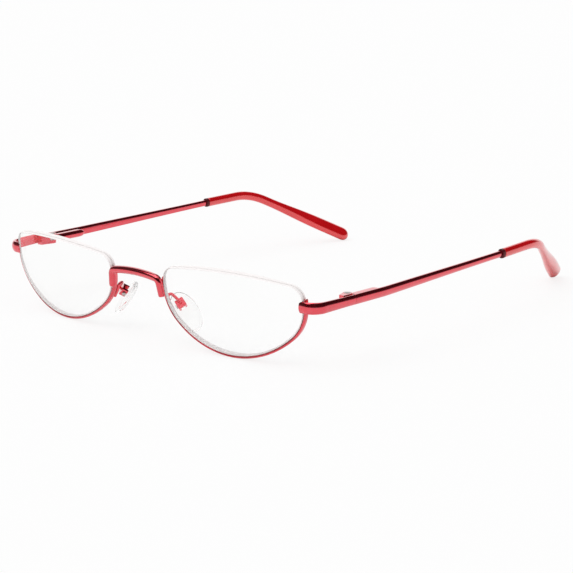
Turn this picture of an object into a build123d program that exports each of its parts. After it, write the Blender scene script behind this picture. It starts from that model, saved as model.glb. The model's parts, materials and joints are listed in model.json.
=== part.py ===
from build123d import *
import os
from math import cos, pi, radians, sin, sqrt

os.makedirs("parts", exist_ok=True)

# Half-eye reading glasses, millimetres, +X to the wearer's left, +Y towards the ears, +Z up.
# The left half is drawn about the midplane x = 0 and the right half is its mirror image.
# Levels are counted from the underside of the end pieces until the seating at the end.

# Lenses: a round-bottomed half-eye outline on a meniscus, as wide as lens_width
lens_width = 50.0
lens_height = 24.9
lens_gap = 22.4
lens_top = 9.7
lens_brow_drop = 2.8
lens_cheek_rise = 12.0
lens_brow_radius = 4.6
lens_cheek_radius = 12.5
brow_room_share = 0.46
cheek_room_share = 1.25
lens_front_radius = 88.0
lens_rear_radius = 136.0
lens_edge = 2.0
lens_temple_y = -0.3
wrap_angle = 6.5
front_tilt = 8.0

# Groove round the lens edge, the nylon line in its upper half and the rim's lip in the lower
groove_depth = 0.45
groove_width = 0.5
groove_fit = 0.03
seat_fit = 0.02

# Half rims under the lenses
rim_wall = 0.85
rim_depth = 1.6
rim_setback = 0.1
rim_top = 4.3

# Saddle bridge, an inverted U whose legs lie in front of the rims
bridge_height = 2.2
bridge_depth = 2.0
bridge_seat = 0.45
bridge_crown = 5.6
bridge_shoulder = 4.7
bridge_leg_overlap = 0.4
bridge_shoulder_radius = 2.6
bridge_leg_width = 1.9
bridge_leg_drop = 1.6
bridge_leg_splay = 0.7
bridge_edge = 0.7

# End pieces, brazed to the rims and swept back to the hinges
end_piece_inset = 0.9
end_piece_seat = 0.8
end_piece_front_height = 3.4
end_piece_rear_height = 2.9
end_piece_bend = 4.0
lens_clearance = 0.1

# Barrel section that the end pieces and temples share: flat inside, crowned outside
bar_thickness = 1.5
bar_crown = 0.4
bar_edge = 0.3

# Spring hinges: two ears on the end piece, and the slider's eye between them
pin_inset = 2.4
pin_front_gap = 0.4
pin_radius = 0.5
pin_fit = 0.05
ear_radius = 1.3
ear_height = 1.0
eye_height = 1.3
ear_gap = 0.05
ear_web = 3.4
screw_head_radius = 0.95
screw_head_height = 0.4
screw_slot_width = 0.25
screw_slot_depth = 0.2
butt_gap = 0.06
butt_y = 16.0
butt_z = 1.95

# Spring housing on the temple's inner side, with the slider, its spring and its nut inside
housing_length = 11.4
housing_height = 2.5
housing_front_gap = 1.75
housing_inner_wall = 0.45
housing_rear_wall = 0.7
housing_edge = 0.5
bore_radius = 0.85
rod_radius = 0.42
rod_fit = 0.06
stop_length = 1.2
nut_length = 1.1
nut_radius = 0.76
nut_travel_room = 0.5
spring_wire = 0.2
spring_wire_sides = 6
spring_turns = 5
spring_end_gap = 0.03

# Temples: flat bars that taper to a round tang inside the tips
temple_reach = 4.8214
temple_straight = 13.0
temple_length = 69.0
temple_rear_inset = 1.8
temple_rear_rise = 1.15
temple_rear_height = 2.0
temple_rear_thickness = 1.35
tang_radius = 0.55
tang_share = 0.6

# Tips: moulded sleeves, bent down and inwards behind the ears
collar_length = 1.2
collar_height = 2.9
collar_thickness = 2.4
collar_edge = 0.3
tip_bend_inset = 1.3
tip_bend_run = 20.5
tip_bend_rise = 0.4
tip_bend_radius = 20.0
tip_end_inset = 16.8
tip_end_run = 33.1
tip_end_drop = 18.4
tip_mouth_height = 3.0
tip_mouth_thickness = 2.5
tip_paddle_height = 4.9
tip_paddle_thickness = 3.2
tip_paddle_share = 0.86
tip_paddle_start_share = 0.45
tip_twist = 38.0
tip_cap = 2.6

# Nose pads on screwed boxes, carried by wire arms from the rims
pad_centre_out = 2.1
pad_centre_y = 2.1
pad_centre_z = -7.3
pad_length = 13.4
pad_width = 7.4
pad_thickness = 2.0
pad_splay = 46.0
pad_turn = 45.0
pad_front_round = 1.1
pad_back_round = 0.45
pad_mount_share = 0.17
box_length = 2.8
box_width = 2.7
box_height = 1.9
box_slot = 1.3
box_floor = 0.5
box_edge = 0.3
box_gap = 0.35
shank_length = 1.7
shank_fit = 0.08
pad_screw_radius = 0.35
pad_screw_head = 0.65
pad_screw_head_height = 0.35
arm_radius = 0.45
arm_bend = 0.8
arm_foot_low = 6.2
arm_foot_high = 1.9
arm_foot_out = 0.75
arm_back = 1.6
arm_rise = 0.2


# Lens plane: the middle of the outline, wrapped back at the temple side, its top tilted forwards
wrap = radians(wrap_angle)
tilt = radians(front_tilt)
chord = Vector(cos(wrap), sin(wrap), 0)
ahead = Vector(sin(wrap) * cos(tilt), -cos(wrap) * cos(tilt), -sin(tilt))
lens_middle_z = lens_top - lens_height / 2 * cos(tilt)


def lens_level(level):
    return (level - lens_middle_z) / cos(tilt)


lens_lean = (ahead.cross(chord) * lens_level(butt_z)).Y
lens_centre = Vector(lens_gap / 2 + lens_width / 2 * cos(wrap),
                     lens_temple_y - lens_width / 2 * sin(wrap) - lens_lean, lens_middle_z)
lens_plane = Plane(origin=lens_centre, x_dir=chord, z_dir=ahead)
lens_bulge = lens_front_radius - sqrt(lens_front_radius**2 - (lens_width / 2) ** 2)
rear_bulge = lens_rear_radius - sqrt(lens_rear_radius**2 - (lens_width / 2) ** 2)
front_ball = lens_plane.from_local_coords(Vector(0, 0, lens_bulge - lens_front_radius))
rear_ball = lens_plane.from_local_coords(Vector(0, 0, rear_bulge - lens_edge - lens_rear_radius))
side_top = lens_height / 2 - lens_brow_drop
side_low = lens_cheek_rise - lens_height / 2
brow_radius = min(lens_brow_radius, (side_top - side_low) * brow_room_share)
cheek_radius = min(lens_cheek_radius, (side_top - side_low) * cheek_room_share)
groove_back = lens_edge / 2 - groove_width / 2
prism_reach = lens_bulge + lens_edge + rim_depth
lens_nasal_x = lens_gap / 2
lens_outer_x = lens_nasal_x + lens_width * cos(wrap)


def outline_prism(growth):
    half_width = lens_width / 2
    half_height = lens_height / 2
    with BuildPart() as prism:
        with BuildSketch(lens_plane) as outline:
            with BuildLine():
                ThreePointArc((-half_width, side_top), (0, half_height), (half_width, side_top))
                Line((half_width, side_top), (half_width, side_low))
                ThreePointArc((half_width, side_low), (0, -half_height), (-half_width, side_low))
                Line((-half_width, side_low), (-half_width, side_top))
            make_face()
            fillet(outline.vertices().group_by(Axis.Y)[0], cheek_radius)
            fillet(outline.vertices().group_by(Axis.Y)[-1], brow_radius)
            if growth:
                offset(amount=growth)
        extrude(amount=prism_reach, both=True)
    return prism.part


def lens_shell(start, depth):
    with BuildPart() as shell:
        with Locations(front_ball):
            Sphere(lens_front_radius - start)
            Sphere(lens_front_radius - start - depth, mode=Mode.SUBTRACT)
    return shell.part


def edge_ring(outer, inner, start, depth):
    with BuildPart() as ring:
        add(outline_prism(outer))
        add(outline_prism(inner), mode=Mode.SUBTRACT)
        add(lens_shell(start, depth), mode=Mode.INTERSECT)
    return ring.part


rim_split = Plane.XY.offset(rim_top)

# Lens: meniscus with a groove all round its edge
with BuildPart() as lens:
    add(outline_prism(0))
    with Locations(front_ball):
        Sphere(lens_front_radius, mode=Mode.INTERSECT)
    with Locations(rear_ball):
        Sphere(lens_rear_radius, mode=Mode.SUBTRACT)
    add(edge_ring(groove_width, -groove_depth, groove_back, groove_width), mode=Mode.SUBTRACT)

# Half rim: a shallow channel wire, with the lip that enters the groove
with BuildPart() as rim:
    add(edge_ring(rim_wall, groove_fit, rim_setback, rim_depth))
    split(bisect_by=rim_split, keep=Keep.BOTTOM)
    add(edge_ring(groove_fit + seat_fit, seat_fit - groove_depth, groove_back + groove_fit,
                  groove_width - groove_fit * 2))
    split(bisect_by=rim_split, keep=Keep.BOTTOM)

# Nylon line over the bare top of the lens
with BuildPart() as lens_line:
    add(edge_ring(-groove_fit, seat_fit - groove_depth, groove_back + groove_fit,
                  groove_width - groove_fit * 2))
    split(bisect_by=rim_split.offset(seat_fit), keep=Keep.TOP)

# Room for the lens, which the brazed pieces in front of it leave free
with BuildPart() as lens_room:
    add(outline_prism(lens_clearance))
    with Locations(front_ball):
        Sphere(lens_front_radius + lens_clearance, mode=Mode.INTERSECT)
    with Locations(rear_ball):
        Sphere(lens_rear_radius - lens_clearance, mode=Mode.SUBTRACT)

# Bridge: the arch and its legs are one bar, rounded at the shoulders
rim_nasal = lens_plane.from_local_coords(Vector(-lens_width / 2, lens_level(0), -rim_setback))
bridge_plane = Plane(origin=(0, rim_nasal.Y + bridge_seat, 0), x_dir=(1, 0, 0),
                     z_dir=(0, -cos(tilt), -sin(tilt)))
bridge_half_width = lens_nasal_x + bridge_leg_overlap
leg_top_x = bridge_half_width - bridge_leg_splay
with BuildPart() as bridge:
    with BuildSketch(bridge_plane) as arch:
        with BuildLine():
            ThreePointArc((-leg_top_x, bridge_shoulder), (0, bridge_crown), (leg_top_x, bridge_shoulder))
            Polyline((leg_top_x, bridge_shoulder), (bridge_half_width, -bridge_leg_drop),
                     (bridge_half_width - bridge_leg_width, -bridge_leg_drop),
                     (leg_top_x - bridge_leg_width, bridge_shoulder - bridge_height))
            ThreePointArc((leg_top_x - bridge_leg_width, bridge_shoulder - bridge_height),
                          (0, bridge_crown - bridge_height),
                          (bridge_leg_width - leg_top_x, bridge_shoulder - bridge_height))
            Polyline((bridge_leg_width - leg_top_x, bridge_shoulder - bridge_height),
                     (bridge_leg_width - bridge_half_width, -bridge_leg_drop),
                     (-bridge_half_width, -bridge_leg_drop), (-leg_top_x, bridge_shoulder))
        make_face()
        fillet(arch.vertices().group_by(Axis.Y)[-2], bridge_shoulder_radius - bridge_height / 2)
        fillet(arch.vertices().group_by(Axis.Y)[-1], bridge_shoulder_radius)
    extrude(amount=bridge_depth)
    fillet(bridge.faces().sort_by(Axis.Y)[0].edges(), bridge_edge)
    for neighbour in (rim.part, lens_room.part):
        add(neighbour, mode=Mode.SUBTRACT)
        mirror(neighbour, about=Plane.YZ, mode=Mode.SUBTRACT)


def bar_section(place, heading, height, thickness):
    crown_start = thickness / 2 - bar_crown
    section_plane = Plane(origin=place, x_dir=heading.cross(Vector(0, 0, 1)), z_dir=heading)
    with BuildSketch(section_plane) as section:
        with BuildLine():
            Polyline((crown_start, height / 2), (-thickness / 2, height / 2),
                     (-thickness / 2, -height / 2), (crown_start, -height / 2))
            ThreePointArc((crown_start, -height / 2), (thickness / 2, 0), (crown_start, height / 2))
        fillet(make_face().vertices(), bar_edge)
    return section.sketch


# End piece: a bar swept outwards and back, from its front end to the butt with the temple
end_front = lens_plane.from_local_coords(Vector(lens_width / 2, lens_level(butt_z), 0))
end_start = Vector(end_front.X - end_piece_inset,
                   end_front.Y - bar_thickness / 2 + end_piece_seat, butt_z)
temple_x = lens_outer_x + temple_reach
end_corner = Vector(temple_x, end_start.Y, butt_z)
end_rear = Vector(temple_x, butt_y, butt_z)
with BuildPart() as end_piece:
    with BuildLine() as end_path:
        FilletPolyline(end_start, end_corner, end_rear, radius=end_piece_bend)
    route = end_path.wire()
    sweep([bar_section(route @ 0, route % 0, end_piece_front_height, bar_thickness),
           bar_section(route @ 1, route % 1, end_piece_rear_height, bar_thickness)],
          path=route, multisection=True)
    add(rim.part, mode=Mode.SUBTRACT)
    add(lens_room.part, mode=Mode.SUBTRACT)

pin_x = temple_x - pin_inset
pin_y = butt_y - pin_front_gap
pin = Vector(pin_x, pin_y, butt_z)
bar_inner_x = temple_x - bar_thickness / 2
hinge_height = eye_height + (ear_gap + ear_height) * 2

# Hinge ears: a fork cut from one block and brazed to the end piece's inner side
with BuildPart() as hinge_fork:
    with BuildSketch(Plane.XY.offset(butt_z - hinge_height / 2)):
        with Locations((pin_x, pin_y)):
            Circle(ear_radius)
        with BuildLine():
            Polyline((pin_x - ear_radius, pin_y), (pin_x, pin_y - ear_web),
                     (bar_inner_x + seat_fit, pin_y - ear_web), (bar_inner_x + seat_fit, pin_y),
                     (pin_x - ear_radius, pin_y))
        make_face()
    extrude(amount=hinge_height)
    with BuildSketch(Plane.XY.offset(butt_z - eye_height / 2 - ear_gap)):
        with Locations((pin_x, pin_y)):
            Circle(ear_radius + ear_gap * 2)
            Rectangle(ear_radius * 2 + ear_gap * 4, ear_radius * 2, align=(Align.CENTER, Align.MIN))
    extrude(amount=eye_height + ear_gap * 2, mode=Mode.SUBTRACT)
    with Locations(Plane.XY.offset(butt_z + hinge_height / 2)):
        with Locations((pin_x, pin_y)):
            CounterBoreHole(pin_radius + pin_fit, screw_head_radius + pin_fit, screw_head_height,
                            depth=hinge_height)
    add(end_piece.part, mode=Mode.SUBTRACT)

# Hinge screw: a plain shank under a slotted head that sits in the upper ear
with BuildPart() as hinge_screw:
    with BuildSketch(Plane.XY.offset(butt_z - hinge_height / 2)):
        with Locations((pin_x, pin_y)):
            Circle(pin_radius)
    extrude(amount=hinge_height)
    with BuildSketch(Plane.XY.offset(butt_z + hinge_height / 2 - screw_head_height + pin_fit)):
        with Locations((pin_x, pin_y)):
            Circle(screw_head_radius)
    extrude(amount=screw_head_height)
    with BuildSketch(Plane.XY.offset(butt_z + hinge_height / 2 + pin_fit)):
        with Locations((pin_x, pin_y)):
            Rectangle(screw_head_radius * 2, screw_slot_width)
    extrude(amount=-screw_slot_depth, mode=Mode.SUBTRACT)

# Slider: the eye on the screw, and the rod that runs back into the housing
housing_front_y = pin_y + housing_front_gap
housing_rear_y = housing_front_y + housing_length
bore_end_y = housing_rear_y - housing_rear_wall
nut_rear_y = bore_end_y - nut_travel_room
nut_front_y = nut_rear_y - nut_length
with BuildPart() as spring_slider:
    with BuildSketch(Plane.XY.offset(butt_z - eye_height / 2)):
        with Locations((pin_x, pin_y)):
            Circle(ear_radius)
    extrude(amount=eye_height)
    with BuildSketch(Plane.XZ.offset(-pin_y)):
        with Locations((pin_x, butt_z)):
            Circle(rod_radius)
    extrude(amount=pin_y - nut_rear_y)
    with Locations((pin_x, pin_y, butt_z)):
        Hole(pin_radius + pin_fit)


def bore_ring(front_y, rear_y, outer, inner):
    with BuildPart() as ring:
        with BuildSketch(Plane.XZ.offset(-front_y)):
            with Locations((pin_x, butt_z)):
                Circle(outer)
                Circle(inner, mode=Mode.SUBTRACT)
        extrude(amount=front_y - rear_y)
    return ring


# Nut on the rod's end, and the bush that closes the bore round the rod
slider_nut = bore_ring(nut_front_y, nut_rear_y, nut_radius, rod_radius)
spring_stop = bore_ring(housing_front_y, housing_front_y + stop_length, bore_radius - seat_fit,
                        rod_radius + rod_fit)

# Spring round the rod, between the bush and the nut
spring_front_y = housing_front_y + stop_length + spring_end_gap + spring_wire / 2
spring_rear_y = nut_front_y - spring_end_gap - spring_wire / 2
spring_radius = (bore_radius + rod_radius) / 2
spring_pitch = (spring_rear_y - spring_front_y) / spring_turns
with BuildPart() as hinge_spring:
    with BuildLine():
        coil = Helix(spring_pitch, spring_rear_y - spring_front_y, spring_radius,
                     center=(pin_x, spring_front_y, butt_z), direction=(0, 1, 0))
    with BuildSketch(Plane(origin=coil @ 0, z_dir=coil % 0)):
        RegularPolygon(spring_wire / 2, spring_wire_sides)
    sweep(is_frenet=True)

# Temple: a flat bar, straight along the hinge and then tapering inwards to the tang
with BuildPart() as temple:
    temple_front = Vector(temple_x, butt_y + butt_gap, butt_z)
    temple_knee = temple_front + Vector(0, temple_straight, 0)
    temple_rear = Vector(temple_x - temple_rear_inset, butt_y + temple_length,
                         butt_z + temple_rear_rise)
    temple_run = temple_rear - temple_knee
    knee_share = temple_straight / temple_length
    knee_height = end_piece_rear_height + (temple_rear_height - end_piece_rear_height) * knee_share
    back = Vector(0, 1, 0)
    loft([bar_section(temple_front, back, end_piece_rear_height, bar_thickness),
          bar_section(temple_knee, back, knee_height, bar_thickness),
          bar_section(temple_rear, back, temple_rear_height, temple_rear_thickness)], ruled=True)

# Tip path: straight on from the temple, one bend, then down and inwards
tip_start = temple_rear + temple_run * (collar_length / temple_run.Y)
tip_bend = temple_rear + Vector(-tip_bend_inset, tip_bend_run, tip_bend_rise)
tip_end = tip_bend + Vector(-tip_end_inset, tip_end_run, -tip_end_drop)
with BuildLine() as tip_line:
    FilletPolyline(tip_start, tip_bend, tip_end, radius=tip_bend_radius)
tip_path = tip_line.wire()
with BuildLine() as tang_line:
    FilletPolyline(temple_rear, tip_bend, tip_bend + (tip_end - tip_bend) * tang_share,
                   radius=tip_bend_radius)
with BuildPart() as tang:
    with BuildSketch(Plane(origin=tang_line.wire() @ 0, z_dir=tang_line.wire() % 0)):
        Circle(tang_radius)
    sweep(path=tang_line.wire())
with temple:
    add(tang.part)


def smooth_share(share, start, end):
    t = min(max((share - start) / (end - start), 0), 1)
    return t * t * (3 - 2 * t)


def tip_plane(share):
    place, heading = tip_path @ share, tip_path % share
    level = Vector(0, 0, 1).cross(heading).normalized()
    turn = tip_twist * smooth_share(share, tip_paddle_start_share, tip_paddle_share)
    return Plane(origin=place, x_dir=level.rotate(Axis((0, 0, 0), heading), turn), z_dir=heading)


# Tip: a sleeve lofted through ellipses, widened to a twisted paddle with a round end
cap_share = tip_cap / tip_path.length
body_sections = 9
cap_angle_shares = (0, 0.4, 0.75)
with BuildPart() as temple_tip:
    for section in range(body_sections):
        share = (1 - cap_share) * section / body_sections
        grow = smooth_share(share, tip_paddle_start_share, tip_paddle_share)
        with BuildSketch(tip_plane(share)):
            Ellipse((tip_mouth_thickness + (tip_paddle_thickness - tip_mouth_thickness) * grow) / 2,
                    (tip_mouth_height + (tip_paddle_height - tip_mouth_height) * grow) / 2)
    for angle_share in cap_angle_shares:
        turn = angle_share * pi / 2
        with BuildSketch(tip_plane(1 - cap_share * (1 - sin(turn)))):
            Ellipse(tip_paddle_thickness / 2 * cos(turn), tip_paddle_height / 2 * cos(turn))
    loft(ruled=True)
    add(temple.part, mode=Mode.SUBTRACT)

# Collar: a ring round the bar at the mouth of the tip
with BuildPart() as tip_collar:
    with BuildSketch(tip_plane(0)):
        RectangleRounded(collar_thickness, collar_height, collar_thickness / 2 - collar_edge)
    extrude(amount=-collar_length)
    add(temple.part, mode=Mode.SUBTRACT)

# Spring housing: a box brazed on the bar, with a round rear end and a bore for the slider
housing_inner_x = pin_x - bore_radius - housing_inner_wall
housing_width = bar_inner_x + seat_fit - housing_inner_x
with BuildPart() as spring_housing:
    with BuildSketch(Plane.XY.offset(butt_z - housing_height / 2)):
        with Locations((bar_inner_x + seat_fit, housing_front_y)):
            Rectangle(housing_width, housing_length, align=(Align.MAX, Align.MIN))
    extrude(amount=housing_height)
    rear_inner = spring_housing.edges().filter_by(Axis.Z).sort_by(Axis.Y)[-2:].sort_by(Axis.X)[0]
    fillet(rear_inner, housing_width - housing_edge)
    fillet(spring_housing.faces().filter_by(Axis.Z).edges().filter_by(
        lambda edge: edge.center().X < bar_inner_x), housing_edge)
    with BuildSketch(Plane.XZ.offset(-housing_front_y)):
        with Locations((pin_x, butt_z)):
            Circle(bore_radius)
    extrude(amount=housing_front_y - bore_end_y, mode=Mode.SUBTRACT)
    add(temple.part, mode=Mode.SUBTRACT)

# Pad plane: the long axis splays outwards going down, the face turns from the eye to the nose
splay = radians(pad_splay)
pad_facing = radians(pad_turn)
pad_long = Vector(sin(splay), 0, -cos(splay))
pad_normal = Vector(-cos(splay) * sin(pad_facing), cos(pad_facing), -sin(splay) * sin(pad_facing))
pad_centre = Vector(lens_nasal_x + pad_centre_out, pad_centre_y, pad_centre_z)
pad_back = pad_centre - pad_normal * (pad_thickness / 2)
mount_centre = pad_back - pad_long * (pad_length * pad_mount_share)
box_mouth = mount_centre - pad_normal * box_gap
box_plane = Plane(origin=box_mouth, x_dir=pad_long, z_dir=-pad_normal)
box_middle = (box_height - box_floor) / 2
screw_plane = Plane(origin=box_plane.from_local_coords(Vector(0, -box_width / 2, box_middle)),
                    x_dir=pad_long, z_dir=box_plane.y_dir)

# Pad box: a small open box with a slot for the pad's shank and a screw across it
with BuildPart() as pad_box:
    with BuildSketch(box_plane):
        RectangleRounded(box_length, box_width, box_edge)
    extrude(amount=box_height)
    with BuildSketch(box_plane):
        Rectangle(box_length, box_slot)
    extrude(amount=box_height - box_floor, mode=Mode.SUBTRACT)
    with BuildSketch(screw_plane):
        Circle(pad_screw_radius)
    extrude(amount=box_width, mode=Mode.SUBTRACT)

# Pad screw: across the box, with its head outside
with BuildPart() as pad_screw:
    with BuildSketch(screw_plane):
        Circle(pad_screw_radius - seat_fit)
    extrude(amount=box_width)
    with BuildSketch(screw_plane):
        Circle(pad_screw_head)
    extrude(amount=-pad_screw_head_height)

# Nose pad: a clear oval cushion with a shank that hangs on the screw
pad_plane = Plane(origin=pad_back, x_dir=pad_long, z_dir=pad_normal)
shank_reach = box_gap + box_middle + pad_screw_radius + shank_fit * 2
with BuildPart() as nose_pad:
    with BuildSketch(pad_plane):
        Ellipse(pad_length / 2, pad_width / 2)
    extrude(amount=pad_thickness)
    rims = nose_pad.faces().filter_by(GeomType.PLANE)
    fillet(rims.filter_by(lambda face: face.normal_at().dot(pad_normal) > 0).edges(), pad_front_round)
    back_face = nose_pad.faces().filter_by(GeomType.PLANE).filter_by(
        lambda face: face.normal_at().dot(pad_normal) < 0)
    fillet(back_face.edges(), pad_back_round)
    with BuildSketch(Plane(origin=mount_centre, x_dir=pad_long, z_dir=-pad_normal)):
        Rectangle(shank_length, box_slot - shank_fit * 2)
    extrude(amount=shank_reach)
    with BuildSketch(screw_plane):
        Circle(pad_screw_radius + shank_fit)
    extrude(amount=box_width, mode=Mode.SUBTRACT)

# Pad arm: a wire with its foot along the back of the rim, bent back and down to the box
cheek_span = lens_width / 2 - cheek_radius
bottom_radius = ((lens_width / 2) ** 2 + lens_cheek_rise**2) / (lens_cheek_rise * 2)
cheek_centre = (bottom_radius - lens_height / 2
                - sqrt((bottom_radius - cheek_radius) ** 2 - cheek_span**2))
foot_ball = lens_front_radius - rim_setback - rim_depth - arm_radius + seat_fit


def rim_back(level):
    along = lens_level(level)
    across = -cheek_span - arm_foot_out - sqrt(cheek_radius**2 - (cheek_centre - along) ** 2)
    behind = sqrt(foot_ball**2 - across**2 - along**2) - lens_front_radius + lens_bulge
    return lens_plane.from_local_coords(Vector(across, along, behind))


foot_top = rim_back(-arm_foot_high)
arm_end = box_plane.from_local_coords(Vector(0, 0, box_height - seat_fit))
with BuildPart() as pad_arm:
    with BuildLine() as arm_line:
        FilletPolyline(rim_back(-arm_foot_low), rim_back(-(arm_foot_low + arm_foot_high) / 2),
                       foot_top, foot_top + Vector(arm_rise, arm_back, arm_rise),
                       arm_end - pad_normal * arm_back / 2 + Vector(0, 0, arm_rise),
                       arm_end, radius=arm_bend)
    with BuildSketch(Plane(origin=arm_line.wire() @ 0, z_dir=arm_line.wire() % 0)):
        Circle(arm_radius)
    sweep(path=arm_line.wire())
    for neighbour in (rim, pad_box):
        add(neighbour.part, mode=Mode.SUBTRACT)

# Seating: the rest level is z = 0 and the length is centred on y = 0
paired = {
    "lens": lens, "rim": rim, "lens_line": lens_line, "end_piece": end_piece,
    "hinge_fork": hinge_fork, "hinge_screw": hinge_screw, "spring_slider": spring_slider,
    "slider_nut": slider_nut, "spring_stop": spring_stop, "hinge_spring": hinge_spring,
    "spring_housing": spring_housing, "temple": temple, "temple_tip": temple_tip,
    "tip_collar": tip_collar, "pad_arm": pad_arm, "pad_box": pad_box, "pad_screw": pad_screw,
    "nose_pad": nose_pad,
}
boxes = [piece.part.bounding_box() for piece in (bridge, *paired.values())]
front_y = min(box.min.Y for box in boxes)
rear_y = max(box.max.Y for box in boxes)
rest_z = min(box.min.Z for box in boxes)
seat = Location((0, -(front_y + rear_y) / 2, -rest_z))

with BuildPart() as seated_bridge:
    add(bridge.part.moved(seat))
seated_bridge.part.label = "bridge"
export_step(seated_bridge.part, "parts/bridge.step")

for name, piece in paired.items():
    with BuildPart() as left:
        add(piece.part.moved(seat))
    left.part.label = f"{name}_left"
    export_step(left.part, f"parts/{name}_left.step")
    with BuildPart() as right:
        mirror(left.part, about=Plane.YZ)
    right.part.label = f"{name}_right"
    export_step(right.part, f"parts/{name}_right.step")

print("seat", seat.position)
for name, place in (("pin", pin), ("slide front", Vector(pin_x, housing_front_y, butt_z)),
                    ("pad screw", screw_plane.origin), ("tip end", tip_end)):
    print(name, place + seat.position)
print("pad rock axis", screw_plane.z_dir, "spring fixed end", housing_front_y + stop_length)
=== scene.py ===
import bpy, bmesh, json, math
from mathutils import Matrix, Vector

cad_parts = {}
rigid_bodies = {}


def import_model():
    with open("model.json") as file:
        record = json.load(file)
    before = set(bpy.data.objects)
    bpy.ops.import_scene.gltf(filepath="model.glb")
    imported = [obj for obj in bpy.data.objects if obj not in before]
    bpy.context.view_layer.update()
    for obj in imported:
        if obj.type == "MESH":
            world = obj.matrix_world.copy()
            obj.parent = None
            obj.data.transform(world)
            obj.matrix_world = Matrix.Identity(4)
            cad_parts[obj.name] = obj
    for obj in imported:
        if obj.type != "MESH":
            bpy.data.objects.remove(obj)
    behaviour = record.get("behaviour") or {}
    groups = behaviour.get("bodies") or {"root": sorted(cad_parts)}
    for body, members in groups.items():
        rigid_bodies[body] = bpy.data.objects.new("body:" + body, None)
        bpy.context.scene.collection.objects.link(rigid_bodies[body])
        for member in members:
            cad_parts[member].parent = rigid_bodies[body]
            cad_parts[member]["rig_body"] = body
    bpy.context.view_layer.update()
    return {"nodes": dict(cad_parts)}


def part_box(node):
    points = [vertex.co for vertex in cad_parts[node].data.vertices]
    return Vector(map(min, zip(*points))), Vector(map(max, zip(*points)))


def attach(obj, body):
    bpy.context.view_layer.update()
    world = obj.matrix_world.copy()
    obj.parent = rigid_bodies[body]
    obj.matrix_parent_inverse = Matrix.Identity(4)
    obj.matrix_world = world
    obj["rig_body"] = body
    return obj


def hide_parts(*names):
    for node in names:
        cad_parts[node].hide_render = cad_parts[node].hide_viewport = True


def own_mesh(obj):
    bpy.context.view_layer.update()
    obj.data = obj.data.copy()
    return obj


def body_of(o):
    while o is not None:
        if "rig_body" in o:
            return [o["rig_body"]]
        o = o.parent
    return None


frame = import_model()
print("frame loaded,", len(frame["nodes"]), "nodes")

mm = 0.001
up = Vector((0, 0, 1))
# zero of the drawing: on the midplane, this far ahead of the temples and above the rims' bottoms,
# and from zero the temples' fronts lie this far out and up
drawing = {"toTemples": 16.06, "overRims": 16.1493, "templeX": 65.7, "templeZ": 1.95}
seat = Vector((0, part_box("temple_left")[0].y - drawing["toTemples"] * mm,
               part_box("rim_left")[0].z + drawing["overRims"] * mm))


def at(x, y, z, side=1):
    return Vector((x * side, y, z)) * mm + seat


def linkObject(name, data):
    thing = bpy.data.objects.new(name, data)
    bpy.context.scene.collection.objects.link(thing)
    return thing


# Camera
cameraLook = {"azimuth": 43.314, "height": 12.24, "distance": 640, "turn": 0.138, "tip": 1.071,
              "roll": -0.765, "focalPixels": 2024.7, "picture": 573, "sensor": 36, "target": (0, 60, 0),
              "near": 0.01, "far": 20}


def viewAxis(azimuth, height):
    a, e = math.radians(azimuth), math.radians(height)
    return Vector((math.sin(a) * math.cos(e), -math.cos(a) * math.cos(e), math.sin(e)))


def makeCamera(look):
    data = bpy.data.cameras.new("camera")
    camera = linkObject("camera", data)
    data.sensor_width = look["sensor"]
    data.lens = look["focalPixels"] / look["picture"] * look["sensor"]
    data.clip_start, data.clip_end = look["near"], look["far"]
    back = viewAxis(look["azimuth"] + look["turn"], look["height"] + look["tip"])
    right = up.cross(back).normalized()
    top = back.cross(right)
    roll = math.radians(look["roll"])
    r = right * math.cos(roll) + top * math.sin(roll)
    t = top * math.cos(roll) - right * math.sin(roll)
    matrix = Matrix((r, t, back)).transposed().to_4x4()
    sight = viewAxis(look["azimuth"], look["height"])
    matrix.translation = at(*look["target"]) + sight * look["distance"] * mm
    camera.matrix_world = matrix
    bpy.context.scene.camera = camera


makeCamera(cameraLook)
print("camera placed")


# an input is named by its socket's words, or by its number as i0, i1
def addNode(tree, kind, settings={}, **inputs):
    node = tree.nodes.new(kind)
    for key, value in settings.items():
        setattr(node, key, value)
    for key, value in inputs.items():
        numbered = key[0] == "i" and key[1:].isdigit()
        socket = node.inputs[int(key[1:]) if numbered else key.replace("_", " ")]
        if isinstance(value, bpy.types.NodeSocket):
            tree.links.new(value, socket)
        else:
            socket.default_value = value
    return node


def calc(tree, operation, a, b=0.0, c=0.0):
    return addNode(tree, "ShaderNodeMath", {"operation": operation}, i0=a, i1=b, i2=c).outputs[0]


def vectorCalc(tree, operation, a, b=(0, 0, 0)):
    return addNode(tree, "ShaderNodeVectorMath", {"operation": operation}, i0=a, i1=b).outputs[0]


# Studio: white room for the eye, dark band with a bright ceiling for what shines
roomPlan = {"level": 0.75, "horizon": 0.9, "dark": 0.012, "ceiling": 1.0, "darkFrom": 9, "darkTo": 52,
            "ceilingFrom": 64, "backdrop": 223.3, "backdropWidth": (0.64, 0.82), "sideGlow": 0.06,
            "window": (-0.1, -0.8), "sun": 0.9, "sunAzimuth": -30, "sunHeight": 62, "sunWidth": 50,
            "paper": 0.93, "paperRough": 0.9, "paperWhite": 0.8, "paperHalf": 4}


def heightStop(degrees):
    return 0.5 + math.sin(math.radians(degrees)) / 2


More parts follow.
